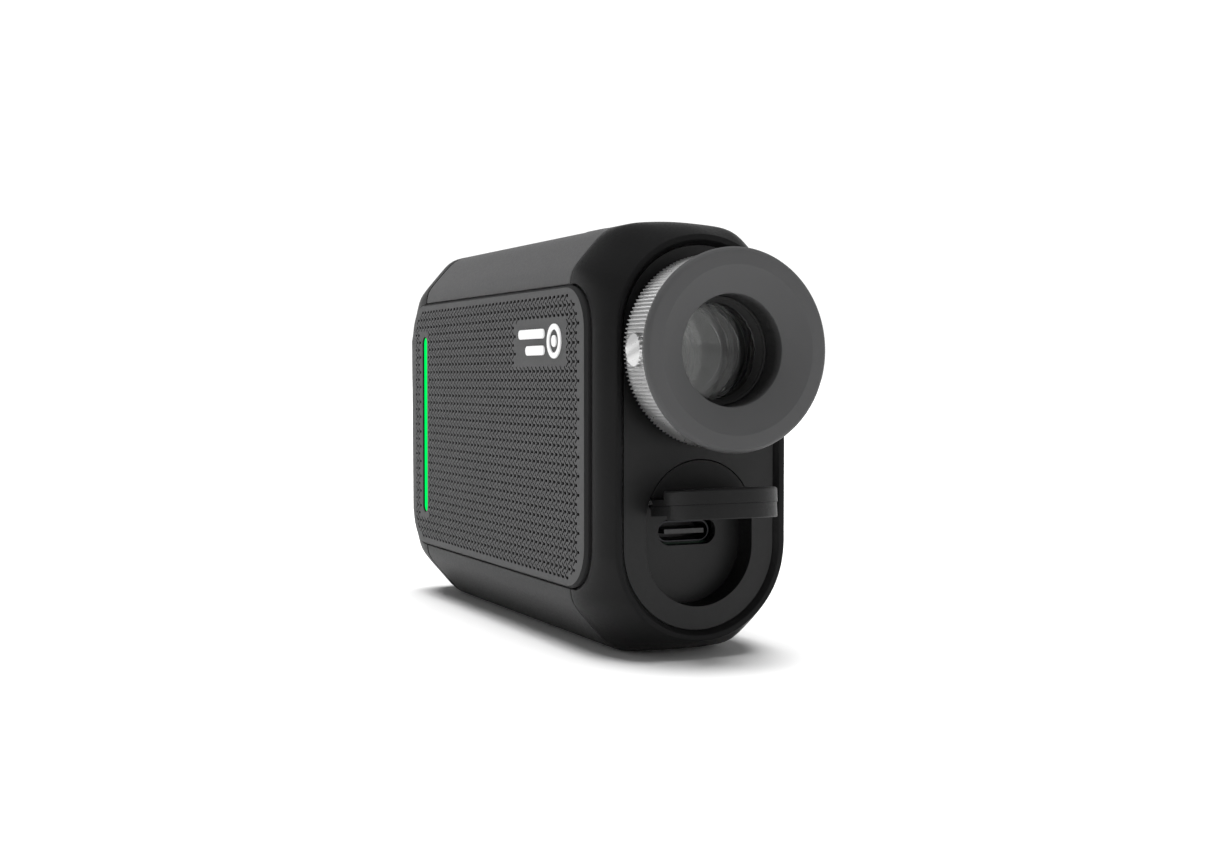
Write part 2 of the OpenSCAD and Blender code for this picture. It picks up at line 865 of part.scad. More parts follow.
rear_housing();
front_housing();
top_cover();
bottom_cover();
left_panel();
right_panel();
light_bar();
led_board();
badge();
rear_face_plate();
front_face_plate();
chassis();
rear_gasket();
front_gasket();
eyepiece_barrel();
diopter_ring();
eyecup();
eye_lens_cell();
eye_lens();
eye_lens_retainer();
field_lens();
display_glass();
prism_holder();
prism_block();
prism_screws();
objective_barrel();
objective_lens();
objective_retainer();
optics_bulkhead();
laser_barrel();
laser_lens();
laser_retainer();
laser_diode();
receiver();
main_board();
board_screws();
usb_board();
usb_shell();
usb_tongue();
battery_tray();
battery();
battery_pad();
button_board();
button_switches();
fire_button();
mode_button();
port_anchor();
port_lid();
port_seal();
port_pin();
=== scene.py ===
import json
import math

import bmesh
import bpy
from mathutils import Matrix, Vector
from mathutils.geometry import delaunay_2d_cdt


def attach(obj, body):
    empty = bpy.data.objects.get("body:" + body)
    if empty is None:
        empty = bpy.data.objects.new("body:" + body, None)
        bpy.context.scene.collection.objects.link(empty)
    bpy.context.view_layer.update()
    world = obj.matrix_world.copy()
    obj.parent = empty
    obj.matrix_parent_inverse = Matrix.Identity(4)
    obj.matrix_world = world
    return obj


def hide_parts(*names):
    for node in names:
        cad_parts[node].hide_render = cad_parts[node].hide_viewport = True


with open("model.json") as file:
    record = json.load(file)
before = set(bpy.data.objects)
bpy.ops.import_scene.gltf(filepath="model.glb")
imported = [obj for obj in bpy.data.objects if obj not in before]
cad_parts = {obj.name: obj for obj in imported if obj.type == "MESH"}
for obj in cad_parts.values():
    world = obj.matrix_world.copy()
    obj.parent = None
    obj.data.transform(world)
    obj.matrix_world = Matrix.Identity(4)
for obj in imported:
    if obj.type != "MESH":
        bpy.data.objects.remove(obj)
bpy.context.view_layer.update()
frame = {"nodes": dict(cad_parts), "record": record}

# Driving sizes of the part, in millimetres, in its local frame: y = 0 at the rear rim, z = 0 at mid height
LENGTH = 93.84
HALF_W, HALF_H, MID_Y = 15.66, 32.76, 40.22
ARC_Z, RIM_R, SEAM_Y, SIDE_RUN = 15.95, 14.0, 12.76, 4.7
FLANK_ANGLE, FLANK_REACH, CROWN_R = 41.35, 17.64, 39.0
BLEND = 34  # power of the soft least that joins the side, the flank and the crown
FULL_RUN = 0.55  # sine of the angle from which an end rises all the way to the seam
DIP, DIP_ANGLE, DIP_WIDTH = 2.6, 26, 11  # the upper corners rise sooner, by this much, about this angle
CROWN_RISE = HALF_H - ARC_Z
CROWN_OFF = CROWN_R - CROWN_RISE
WALL, GAP = 1.4, 0.16
OPEN_Y, OPEN_Z, OPEN_R = 5.66, 23.0, 7.1
FLOOR_X = HALF_W - WALL
PANEL_X = 16.3
EYE_Z = 12.8
FACE_Y, SEAT_Y, FLOOR_Y = 0.7, 2.45, 4.8
PORT_Z, LASER_Z = -14.2, -12.0
HINGE_Y, HINGE_Z, FLAP_Y, TILT = 1.9, -9.3, -4.9, 5.4
POCKET_LOW, POCKET_TOP = -16.1, -11.93
LIGHT_Y, LIGHT_REACH, LIGHT_R = 80.4, 15.3, 1.2
MARK_Y, MARK_Z = 17.2, 14.5


# ---- meshes ----


def at(p):
    """A local point in millimetres as a point of the row frame in metres."""
    return (p[0] / 1000, (p[1] - MID_Y) / 1000, (p[2] + HALF_H) / 1000)


class Shape:
    """Points of one piece in the local frame, and the faces between them."""

    def __init__(self):
        self.points = []
        self.faces = []

    def ring(self, points):
        start = len(self.points)
        self.points.extend(points)
        return list(range(start, len(self.points)))

    def band(self, a, b):
        """Faces between two closed rings of as many points."""
        for i in range(len(a)):
            j = (i + 1) % len(a)
            self.faces.append((a[i], a[j], b[j], b[i]))

    def cap(self, ring, tip):
        """Closes a ring with a fan about a point."""
        middle = self.ring([tip])[0]
        self.faces += [(a, b, middle) for a, b in zip(ring, ring[1:] + ring[:1])]

    def fill(self, loops, inner=()):
        """Fills the first loop around the others. A loop is (indices, flat coordinates).
        So is inner, for free points inside the face."""
        ids, flat, edges, owner = [], [], [], []
        for k, (loop, coords) in enumerate(loops):
            n, base = len(loop), len(ids)
            ids += loop
            flat += [Vector(c) for c in coords]
            edges += [(base + i, base + (i + 1) % n) for i in range(n)]
            owner += [k] * n
        if inner:
            ids += inner[0]
            flat += [Vector(c) for c in inner[1]]
            owner += [-1] * len(inner[0])
        out = delaunay_2d_cdt(flat, edges, [], 0, 1e-7)
        source = [o[0] if o else None for o in out[3]]
        for tri in out[2]:
            t = [source[v] for v in tri]
            if None in t or len(set(t)) < 3:
                continue
            k = owner[t[0]]
            if k >= 0 and owner[t[1]] == k and owner[t[2]] == k:
                u = sum(flat[i][0] for i in t) / 3
                v = sum(flat[i][1] for i in t) / 3
                if inside(loops[k][1], u, v) != (k == 0):
                    continue
            self.faces.append(tuple(ids[i] for i in t))


def inside(loop, u, v):
    hit = False
    for i, (a, b) in enumerate(loop):
        c, d = loop[i - 1]
        if (b > v) != (d > v) and u < (c - a) * (v - b) / (d - b) + a:
            hit = not hit
    return hit


def turned(loop):
    """The loop, running anticlockwise."""
    area = sum(loop[i - 1][0] * p[1] - p[0] * loop[i - 1][1] for i, p in enumerate(loop))
    return loop if area > 0 else loop[::-1]


def offset(loop, d):
    """The anticlockwise loop moved inwards by d, or outwards for a negative d."""
    out, n = [], len(loop)
    for i in range(n):
        a, p, b = Vector(loop[i - 1]), Vector(loop[i]), Vector(loop[(i + 1) % n])
        e, f = (p - a).normalized(), (b - p).normalized()
        m, k = Vector((-e.y, e.x)), Vector((-f.y, f.x))
        q = p + (m + k) * (d / max(0.3, 1 + m.dot(k)))
        out.append((q.x, q.y))
    return out


def arc(u, v, r, a0, a1, n):
    """Points of an arc, with its angles in degrees."""
    steps = [math.radians(a0 + (a1 - a0) * k / n) for k in range(n + 1)]
    return [(u + r * math.cos(t), v + r * math.sin(t)) for t in steps]


def circle(u, v, r, n):
    return arc(u, v, r, 0, 360, n)[:-1]


def obround(u, v0, v1, r, n=20):
    """Upright round-ended loop."""
    return arc(u, v0, r, 180, 360, n) + arc(u, v1, r, 0, 180, n)


def lying(u, v, length, height, n=12):
    """Round-ended loop lying along the first axis."""
    r, reach_out = height / 2, (length - height) / 2
    return arc(u + reach_out, v, r, -90, 90, n) + arc(u - reach_out, v, r, 90, 270, n)


def round_rect(u0, v0, u1, v1, r, n):
    return (
        arc(u1 - r, v0 + r, r, -90, 0, n)
        + arc(u1 - r, v1 - r, r, 0, 90, n)
        + arc(u0 + r, v1 - r, r, 90, 180, n)
        + arc(u0 + r, v0 + r, r, 180, 270, n)
    )


def denser(loop, step):
    """The loop with its long edges divided."""
    out = []
    for i, p in enumerate(loop):
        q = loop[(i + 1) % len(loop)]
        n = max(1, math.ceil(math.dist(p, q) / step))
        out += [(p[0] + (q[0] - p[0]) * k / n, p[1] + (q[1] - p[1]) * k / n) for k in range(n)]
    return out


def soft(e, n):
    """Steps of a rounded edge, from the wall to the face: how far in, and how deep."""
    steps = [math.pi / 2 * k / n for k in range(n + 1)]
    return [(e - e * math.cos(t), e - e * math.sin(t)) for t in steps]


def edged(shape, loop, place, steps, bottom, hole=False):
    """A wall from the bottom up to a face, with the edge between them shaped by the steps.
    Returns the wall's foot and the face's loop."""
    loop = turned(loop)
    rings, flats = [], []
    for d, depth in [(0, bottom)] + list(steps):
        flat = offset(loop, -d if hole else d) if d else loop
        rings.append(shape.ring([place(u, v, depth) for u, v in flat]))
        flats.append(flat)
    for a, b in zip(rings, rings[1:]):
        shape.band(a, b)
    return (rings[0], flats[0]), (rings[-1], flats[-1])


def spin(profile, z=EYE_Z, n=128, wave=None):
    """A closed body of revolution about a line along Y. The profile holds radius and y.
    The wave adds to the radius, by angle, radius and y."""
    shape = Shape()
    rings = []
    for k in range(n):
        t = 2 * math.pi * k / n
        points = []
        for r, y in profile:
            q = r + (wave(t, r, y) if wave else 0)
            points.append((q * math.cos(t), y, z + q * math.sin(t)))
        rings.append(shape.ring(points))
    for k in range(n):
        shape.band(rings[k], rings[(k + 1) % n])
    return shape


def eased_corners(profile, radius, n):
    """The profile with its corners rounded, by the radius at most, or by each corner's own."""
    out, count = [], len(profile)
    for i, point in enumerate(profile):
        p = Vector(point[:2])
        a, b = Vector(profile[i - 1][:2]), Vector(profile[(i + 1) % count][:2])
        e, f = (a - p), (b - p)
        le, lf = e.length, f.length
        e, f = e.normalized(), f.normalized()
        half = math.acos(max(-1, min(1, e.dot(f)))) / 2
        r = point[2] if len(point) > 2 else radius
        nearly_straight = half > math.radians(86)
        if nearly_straight or r <= 0:
            out.append((p.x, p.y))
            continue
        reach_out = min(r / math.tan(half), 0.45 * le, 0.45 * lf)
        r = reach_out * math.tan(half)
        centre = p + (e + f).normalized() * (r / math.sin(half))
        start, end = p + e * reach_out - centre, p + f * reach_out - centre
        turn = start.angle_signed(end)
        for k in range(n + 1):
            t = -turn * k / n
            c, s = math.cos(t), math.sin(t)
            q = centre + Vector((start.x * c - start.y * s, start.x * s + start.y * c))
            out.append((q.x, q.y))
    return out


CRISP = 38  # degrees between two faces from which their edge is sharp


def piece(shape, name, body, nodes, slot, material=None, crisp=CRISP, weighted=True):
    """Makes a shape an object that rides a body and stands for CAD nodes.
    Its finish is its slot's, unless one is given."""
    mesh = bpy.data.meshes.new(name)
    mesh.from_pydata([at(p) for p in shape.points], [], shape.faces)
    bm = bmesh.new()
    bm.from_mesh(mesh)
    bmesh.ops.remove_doubles(bm, verts=bm.verts, dist=3e-7)
    bmesh.ops.dissolve_degenerate(bm, dist=1e-7, edges=bm.edges)
    bmesh.ops.recalc_face_normals(bm, faces=bm.faces)
    open_edges = sum(1 for e in bm.edges if not e.is_manifold)
    if open_edges:
        print(f"NOTE {name}: {open_edges} open edges")
    bm.to_mesh(mesh)
    bm.free()
    mesh.polygons.foreach_set("use_smooth", [True] * len(mesh.polygons))
    mesh.set_sharp_from_angle(angle=math.radians(crisp))
    mesh.materials.append(material or BY_SLOT[slot])
    thing = bpy.data.objects.new(name, mesh)
    bpy.context.scene.collection.objects.link(thing)
    if weighted:
        normals = thing.modifiers.new("Even_normals", "WEIGHTED_NORMAL")
        normals.keep_sharp = True
    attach(thing, body)
    if nodes:
        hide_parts(*nodes)
    return thing


# ---- materials ----

GRAIN_LIFT = 0.02  # millimetres
CLOUD_SCALE, GRAIN_SCALE = 90, 2600


def ranged(tree, source, low, high, at_low, at_high, smooth=False):
    """A socket's value carried from one range to another, and held at the ends."""
    node = tree.nodes.new("ShaderNodeMapRange")
    if smooth:
        node.interpolation_type = "SMOOTHSTEP"
    limits = {"From Min": low, "From Max": high, "To Min": at_low, "To Max": at_high}
    for name, value in limits.items():
        node.inputs[name].default_value = value
    tree.links.new(source, node.inputs["Value"])
    return node.outputs["Result"]


def product(tree, a, b):
    node = tree.nodes.new("ShaderNodeMath")
    node.operation = "MULTIPLY"
    tree.links.new(a, node.inputs[0])
    tree.links.new(b, node.inputs[1])
    return node.outputs["Value"]


def finish_of(name, colour, rough, grain=0.05, spread=0.06, fine=GRAIN_SCALE, bump=0.0, metal=0.0,
              gloss=0.5, clear=0.0, ior=1.5, glow=None, painted_recess_shade=None):
    """A procedural finish: the colour and the roughness drift a little, and a fine grain stands out.
    The last argument paints shade into recesses: an axis, the distance from the middle where the colour is
    full, the one where it is darkest, both in millimetres, and how much of the colour is left there."""
    material = bpy.data.materials.new(name)
    material.use_nodes = True
    tree = material.node_tree
    nodes, links = tree.nodes, tree.links
    shader = nodes["Principled BSDF"]
    where = nodes.new("ShaderNodeTexCoord").outputs["Object"]
    cloud = nodes.new("ShaderNodeTexNoise")
    cloud.inputs["Scale"].default_value = CLOUD_SCALE
    cloud.inputs["Detail"].default_value = 3
    speck = nodes.new("ShaderNodeTexNoise")
    speck.inputs["Scale"].default_value = fine
    speck.inputs["Detail"].default_value = 2
    for noise in (cloud, speck):
        links.new(where, noise.inputs["Vector"])
    both = nodes.new("ShaderNodeMix")
    both.data_type = "FLOAT"
    both.inputs["Factor"].default_value = 0.5
    links.new(cloud.outputs["Fac"], both.inputs["A"])
    links.new(speck.outputs["Fac"], both.inputs["B"])
    level = ranged(tree, both.outputs["Result"], 0.25, 0.75, 1 - grain, 1 + grain)
    # Painted shade: the colour darkens with depth below the surface along the axis
    if painted_recess_shade:
        axis, full, dark, left = painted_recess_shade
        apart = nodes.new("ShaderNodeSeparateXYZ")
        links.new(where, apart.inputs[0])
        size = nodes.new("ShaderNodeMath")
        size.operation = "ABSOLUTE"
        links.new(apart.outputs[axis], size.inputs[0])
        depth = ranged(tree, size.outputs["Value"], dark / 1000, full / 1000, left, 1.0)
        level = product(tree, level, depth)
    tint = nodes.new("ShaderNodeVectorMath")
    tint.operation = "SCALE"
    tint.inputs[0].default_value = colour
    links.new(level, tint.inputs["Scale"])
    links.new(tint.outputs["Vector"], shader.inputs["Base Color"])
    least, most = max(0, rough - spread), min(1, rough + spread)
    links.new(ranged(tree, speck.outputs["Fac"], 0.3, 0.7, least, most), shader.inputs["Roughness"])
    if bump:
        relief = nodes.new("ShaderNodeBump")
        relief.inputs["Strength"].default_value = bump
        relief.inputs["Distance"].default_value = GRAIN_LIFT / 1000
        links.new(speck.outputs["Fac"], relief.inputs["Height"])
        links.new(relief.outputs["Normal"], shader.inputs["Normal"])
    shader.inputs["Metallic"].default_value = metal
    shader.inputs["Specular IOR Level"].default_value = gloss
    shader.inputs["Transmission Weight"].default_value = clear
    shader.inputs["IOR"].default_value = ior
    if glow:
        links.new(tint.outputs["Vector"], shader.inputs["Emission Color"])
        shader.inputs["Emission Strength"].default_value = glow
    return material


def glass_of(name, colour, **rest):
    """A smooth glass, clear or opaque."""
    return finish_of(name, colour, 0.0, spread=0.0, fine=20, **rest)


SHELL = finish_of("Housing_plastic", (0.0085, 0.0085, 0.0087), 0.4, bump=0.12, gloss=0.075)
FACE = finish_of("Face_plastic", (0.0045, 0.0045, 0.0047), 0.45, bump=0.12, gloss=0.27)
COVER = finish_of("Cover_plastic", (0.074, 0.074, 0.075), 0.5, bump=0.2, gloss=0.12)
# A darker copy of the cover plastic: painted shade for the bottom cover
SHADED_BASE_COVER = finish_of("Base_cover_painted_shade", (0.041, 0.041, 0.0415), 0.5, bump=0.2, gloss=0.1)
# The grip's holes and arms darken below the panel's face: painted shade in the recesses
PANEL = finish_of("Panel_rubber", (0.082, 0.082, 0.083), 0.6, bump=0.2, gloss=0.12,
                  painted_recess_shade=("X", PANEL_X - 0.02, PANEL_X - 0.2, 0.03))
# A darker copy of the panel rubber: painted shade for the panel's sloping edge
SHADED_EDGE = finish_of("Panel_edge_painted_shade", (0.021, 0.021, 0.0213), 0.6, bump=0.2, gloss=0.12)
# The eyecup darkens from its front face inwards: painted shade in its tunnel
CUP = finish_of("Cup_rubber", (0.060, 0.060, 0.061), 0.55, bump=0.2, gloss=0.25,
                painted_recess_shade=("Y", 49.1, 47.4, 0.35))
INK = finish_of("Mark_white", (0.9, 0.9, 0.9), 0.5, grain=0.02)
LIGHT = finish_of("Light_green", (0.0, 0.052, 0.0068), 0.8, grain=0.02, gloss=0.0, glow=20.0)
RING = finish_of("Ring_alloy", (0.5, 0.5, 0.5), 0.3, grain=0.04, spread=0.03, metal=0.9)
FLAP = finish_of("Flap_rubber", (0.0055, 0.0055, 0.0057), 0.5, bump=0.15, gloss=0.21)
FRAME = finish_of("Frame_plastic", (0.02, 0.02, 0.022), 0.6, bump=0.2)
BARREL = finish_of("Barrel_black", (0.03, 0.03, 0.03), 0.8, gloss=0.05)
GASKET = finish_of("Gasket_rubber", (0.11, 0.012, 0.01), 0.7, bump=0.3)
BOARD = finish_of("Board_green", (0.004, 0.022, 0.01), 0.4, grain=0.2, gloss=0.2)
STEEL = finish_of("Steel", (0.55, 0.55, 0.56), 0.3, metal=1.0)
GOLD = finish_of("Gilt_can", (0.7, 0.5, 0.2), 0.3, metal=1.0)
SHEATH = finish_of("Connector_steel", (0.035, 0.035, 0.037), 0.4, metal=1.0)
TONGUE = finish_of("Tongue_plastic", (0.006, 0.006, 0.006), 0.4)
CELL = finish_of("Battery_wrap", (0.03, 0.09, 0.25), 0.35, grain=0.08)
FOAM = finish_of("Foam", (0.12, 0.12, 0.12), 0.9, grain=0.25, fine=900, bump=0.6)
BUTTON = finish_of("Button_rubber", (0.042, 0.042, 0.043), 0.58, bump=0.3)
COATED = glass_of("Coated_glass", (0.97, 0.975, 0.97), grain=0.005, clear=1.0, ior=1.28)
INSIDE = glass_of("Inner_glass", (0.97, 0.975, 0.97), grain=0.005, clear=1.0, ior=1.34)
# Opaque black glass for the inner glass parts, so the view through the eyepiece ends dark: painted shade
SHADE_BLACK_GLASS = glass_of("Glass_painted_shade_black", (0.002, 0.002, 0.002))
# Opaque dark glass with a faint blue tint in place of the clear objective: painted shade for the dark inside
# seen through it
OBJECTIVE = glass_of("Objective_glass", (0.003, 0.004, 0.009))
LASER = glass_of("Laser_glass", (0.03, 0.003, 0.005))

BY_SLOT = {
    "shell": SHELL, "face_plate": FACE, "cover": COVER, "panel": PANEL, "light": LIGHT,
    "circuit_board": BOARD, "mark": INK, "frame": FRAME, "gasket": GASKET, "barrel": BARREL, "ring": RING,
    "eyecup": CUP, "lens": SHADE_BLACK_GLASS, "laser_lens": LASER, "screw": STEEL, "pin": STEEL, "can": GOLD,
    "connector": SHEATH, "connector_tongue": TONGUE, "battery": CELL, "pad": FOAM, "switch": STEEL,
    "button": BUTTON, "port_cover": FLAP,
}


# ---- outline of the body ----


def reach(a):
    """Distance of the outline from its arc centre, at an angle in degrees: a soft least of the side,
    the flank, and the crown or the base."""
    t = math.radians(a)
    c, s = max(abs(math.cos(t)), 0.001), max(abs(math.sin(t)), 0.001)
    lean = math.atan2(s, c) - math.radians(FLANK_ANGLE)
    up = a <= 180
    crown = math.sqrt(CROWN_R**2 - (CROWN_OFF * c) ** 2) - CROWN_OFF * s if up else CROWN_RISE / s
    flank = FLANK_REACH / math.cos(lean)
    return sum(d**-BLEND for d in (HALF_W / c, flank, crown)) ** (-1 / BLEND)


def lofted(a, y):
    """The same at a depth y behind the rim."""
    run = SIDE_RUN + (SEAM_Y - SIDE_RUN) * min(1, abs(math.sin(math.radians(a))) / FULL_RUN)
    if a < 180:
        run -= DIP * math.exp(-(((abs(a - 90) - DIP_ANGLE) / DIP_WIDTH) ** 2))
    ease = 1 - (1 - min(1, y / run)) ** 2
    return RIM_R + ease * (reach(a) - RIM_R)


def polar(a, r, y):
    t = math.radians(a)
    return (r * math.cos(t), y, (ARC_Z if a <= 180 else -ARC_Z) + r * math.sin(t))


def solved(function, low, high):
    """Where a rising function crosses zero."""
    for _ in range(50):
        middle = (low + high) / 2
        low, high = (middle, high) if function(middle) < 0 else (low, middle)
    return (low + high) / 2


CORNER_COLUMNS, POLE_COLUMNS = 12, 26


def quadrant(down):
    """Columns from the side to the pole: the angle, the end of the surface, and whether it ends at
    the panel's opening."""
    base = 360 if down else 0
    sign = -1 if down else 1
    columns = []
    for k in range(CORNER_COLUMNS + 1):
        t = math.radians(90 * k / CORNER_COLUMNS)
        end = min(SEAM_Y - OPEN_R * math.cos(t), SEAM_Y - GAP)
        rise = OPEN_Z - OPEN_R + OPEN_R * math.sin(t) - ARC_Z
        if rise <= 0:
            columns.append((base, end, True))
            continue
        a = solved(lambda b: lofted(base + sign * b, end) * math.sin(math.radians(b)) - rise, 0, 60)
        columns.append((base + sign * a, end, k < CORNER_COLUMNS))
    last = abs(columns[-1][0] - base)
    for k in range(1, POLE_COLUMNS + 1):
        columns.append((base + sign * (last + (90 - last) * k / POLE_COLUMNS), SEAM_Y - GAP, False))
    return columns


def mirrored(columns):
    """The same columns on the other side, without the pole."""
    return [((180 if a <= 180 else 540) - a, end, wide) for a, end, wide in columns[:-1]][::-1]


# Sections of an end. The rim holds radius and y, its blend y and depth, a lip how far down and how far on
RIM_SECTION = (
    (11.62, 4.55), (11.62, 2.8), (12.5, 2.8), (12.5, 0.76), (12.53, 0.66), (13.12, 0.085), (13.17, 0.025),
    (13.25, 0.0), (13.5, 0.0), (13.8, 0.0), (13.9, 0.012),
)
RIM_BLEND = ((0.05, 0.03), (0.13, 0.008))
LOFT_START, LOFT_ROWS = 0.26, 18
PANEL_LIP = ((0.05, 0.3), (0.21, 0.93), (0.26, 1.07), (0.36, 1.15))
COVER_LIP = ((0.005, 0.03), (0.02, 0.05), (0.04, 0.065), (0.07, 0.07))
SKIRT_Y, INNER_Y = 18, 4.55


def end_shell(front):
    """One end casing: columns round the body, each a closed section from the rim to the skirt and back."""
    top, base = quadrant(False), quadrant(True)
    columns = top + mirrored(top) + mirrored(base)[::-1] + base[::-1]
    shape = Shape()
    rings = []
    for a, end, wide in columns:
        side = 1 if math.cos(math.radians(a)) > 0 else -1
        rows = [polar(a, r, y) for r, y in RIM_SECTION]
        rows += [polar(a, lofted(a, y) - d, y) for y, d in RIM_BLEND]
        lip = PANEL_LIP if wide else COVER_LIP
        stop = end - lip[-1][1]
        for k in range(LOFT_ROWS + 1):
            y = LOFT_START + (stop - LOFT_START) * k / LOFT_ROWS
            rows.append(polar(a, lofted(a, y), y))
        crest = lofted(a, end)
        rows += [polar(a, crest - down, stop + on) for down, on in lip]
        foot = polar(a, crest - WALL, end)
        if wide:
            foot = (side * FLOOR_X, end, polar(a, crest, end)[2])
        skirt = polar(a, reach(a) - WALL, SKIRT_Y)
        if abs(skirt[0]) > FLOOR_X:
            skirt = (side * FLOOR_X, SKIRT_Y, skirt[2])
        rows += [foot, skirt] + [polar(a, reach(a) - 2 * WALL, y) for y in (SKIRT_Y, INNER_Y)]
        if front:
            rows = [(x, LENGTH - y, z) for x, y, z in rows]
        rings.append(shape.ring(rows))
    for k in range(len(rings)):
        shape.band(rings[k], rings[(k + 1) % len(rings)])
    return shape


def carved(thing, shape):
    """Cuts a closed shape out of a finished piece that has no modifiers."""
    cutter = piece(shape, "Cutter", "housing", (), "shell", weighted=False)
    cut = thing.modifiers.new("Cut", "BOOLEAN")
    cut.solver = "EXACT"
    cut.object = cutter
    bpy.context.view_layer.update()
    made = bpy.data.meshes.new_from_object(thing.evaluated_get(bpy.context.evaluated_depsgraph_get()))
    thing.modifiers.remove(cut)
    thing.data = made
    made.set_sharp_from_angle(angle=math.radians(CRISP))
    bpy.data.objects.remove(cutter)


def slab(outline, place, steps, bottom, back_steps=()):
    """A plain closed prism with a shaped front edge, and a shaped back edge where its steps are given."""
    shape = Shape()
    foot, face = edged(shape, outline, place, steps, bottom)
    shape.fill([face])
    if back_steps:
        rings, flats = [foot[0]], [foot[1]]
        for d, depth in back_steps:
            flat = offset(foot[1], d)
            rings.append(shape.ring([place(u, v, bottom + depth) for u, v in flat]))
            flats.append(flat)
        for a, b in zip(rings, rings[1:]):
            shape.band(a, b)
        shape.fill([(rings[-1], flats[-1])])
    else:
        shape.fill([foot])
    return shape


def light_slot(grow):
    """The light's outline, wider by what is given."""
    return obround(LIGHT_Y, -LIGHT_REACH, LIGHT_REACH, LIGHT_R + grow)


def from_left(x):
    """Places a loop in y and z on a plane across X, with depth running into the body."""
    return lambda y, z, d: (x + d, y, z)


piece(end_shell(False), "Rear_casing", "housing", ["rear_housing"], "shell", weighted=False)
front_shell = piece(end_shell(True), "Front_casing", "housing", ["front_housing"], "shell", weighted=False)
carved(front_shell, slab(light_slot(0.14), from_left(-16.5), [(0, 0)], 4.6))


# ---- covers and buttons ----


TABLE_STEPS = 240


def crown_table(base):
    """Angles, lengths along the outline and places across, between the two lower edges of a cover."""
    first = solved(lambda b: reach(base + b) * math.sin(math.radians(b)) - (OPEN_Z - ARC_Z), 5, 60)
    rows, total, last = [], 0.0, None
    for k in range(TABLE_STEPS + 1):
        a = base + first + (180 - 2 * first) * k / TABLE_STEPS
        p = polar(a, reach(a), 0)
        total += math.dist(p, last) if last else 0
        rows.append((a, total, p[0], p[2]))
        last = p
    return rows


def looked_up(rows, column, value, wanted):
    """Interpolates the table on one column for another."""
    for p, q in zip(rows, rows[1:]):
        if (p[column] - value) * (q[column] - value) <= 0 and p[column] != q[column]:
            t = (value - p[column]) / (q[column] - p[column])
            return p[wanted] + (q[wanted] - p[wanted]) * t
    first, last = rows[0], rows[-1]
    return first[wanted] if abs(value - first[column]) < abs(value - last[column]) else last[wanted]


CROWN = crown_table(0)
BASE = crown_table(180)
# Free points inside a cover: their pitch along the outline, then along Y, with the first place and the count
GRID_S, GRID_Y, GRID_START, GRID_ROWS = 0.9, 2.22, 13.6, 31


def cover(rows, holes):
    """A thin cover along a table of the outline, between the two ends.
    Its holes are loops in the length along the outline and y."""
    total = rows[-1][1]

    def place(s, y, d):
        a = looked_up(rows, 1, s, 0)
        return polar(a, reach(a) - d, y)

    shape = Shape()
    near, far = SEAM_Y + GAP, LENGTH - SEAM_Y - GAP
    rim = denser([(0.0, near), (total, near), (total, far), (0.0, far)], 1.0)
    foot, face = edged(shape, rim, place, soft(0.1, 3), WALL)
    feet, faces = [foot], [face]
    for loop in holes:
        foot, face = edged(shape, loop, place, soft(0.14, 3), WALL, hole=True)
        feet.append(foot)
        faces.append(face)
    for loops, depth in ((faces, 0.0), (feet, WALL)):
        lengths = [GRID_S * i for i in range(1, int(total / GRID_S))]
        free = [(u, GRID_START + GRID_Y * j) for u in lengths for j in range(GRID_ROWS)]
        free = [p for p in free if not any(inside(offset(loop[1], -0.3), *p) for loop in loops[1:])]
        inner = (shape.ring([place(s, y, depth) for s, y in free]), free)
        shape.fill(loops, inner)
    return shape


def on_crown(loop):
    """A loop in x and y as one along the crown."""
    return turned([(looked_up(CROWN, 2, x, 1), y) for x, y in loop])


def upright(y, length, width, grow=0.0):
    """Round-ended loop in x and y that lies along Y."""
    return obround(0, y - (length - width) / 2, y + (length - width) / 2, width / 2 + grow, 16)


FIRE = (30, 13, 8)  # place along Y, length, width
MODE_Y, MODE_R = 48, 3
KEY_GAP, KEY_RISE, KEY_DEPTH = 0.15, 0.35, 2.4
FLANGE_OUT, STEM_R = 0.9, 1.5
FLANGE_Z, STEM_Z = (29.9, 30.6), (28.75, 30.2)
holes = [on_crown(upright(*FIRE, grow=KEY_GAP)), on_crown(circle(0, MODE_Y, MODE_R + KEY_GAP, 40))]
piece(cover(CROWN, holes), "Top_cover", "housing", ["top_cover"], "cover")
# The bottom cover takes the darker copy of the plastic: painted shade
piece(cover(BASE, []), "Bottom_cover", "housing", ["bottom_cover"], "cover", SHADED_BASE_COVER)


def button(loop, name, body, node):
    """A key that follows the crown, with a flange under the cover and a stem."""
    def place(x, y, d):
        return (x, y, looked_up(CROWN, 2, x, 3) + KEY_RISE - d)

    shape = Shape()
    foot, face = edged(shape, loop, place, soft(0.3, 5), KEY_DEPTH)
    us, vs = [u for u, v in loop], [v for u, v in loop]
    free = [(min(us) + 0.8 * i, min(vs) + 0.8 * j) for i in range(1, 20) for j in range(1, 20)]
    free = [p for p in free if inside(offset(turned(loop), 0.7), *p)]
    shape.fill([face], (shape.ring([place(x, y, 0) for x, y in free]), free))
    shape.fill([foot])
    flange = offset(turned(loop), -FLANGE_OUT)
    stem = circle(0, sum(vs) / len(vs), STEM_R, 32)
    for rim, (z0, z1) in ((flange, FLANGE_Z), (stem, STEM_Z)):
        low = shape.ring([(x, y, z0) for x, y in rim])
        high = shape.ring([(x, y, z1) for x, y in rim])
        shape.band(low, high)
        shape.fill([(low, rim)])
        shape.fill([(high, rim)])
    piece(shape, name, body, [node], "button")


button(upright(*FIRE), "Fire_button", "fire_key", "fire_button")
button(circle(0, MODE_Y, MODE_R, 40), "Mode_button", "mode_key", "mode_button")


# ---- side panels ----

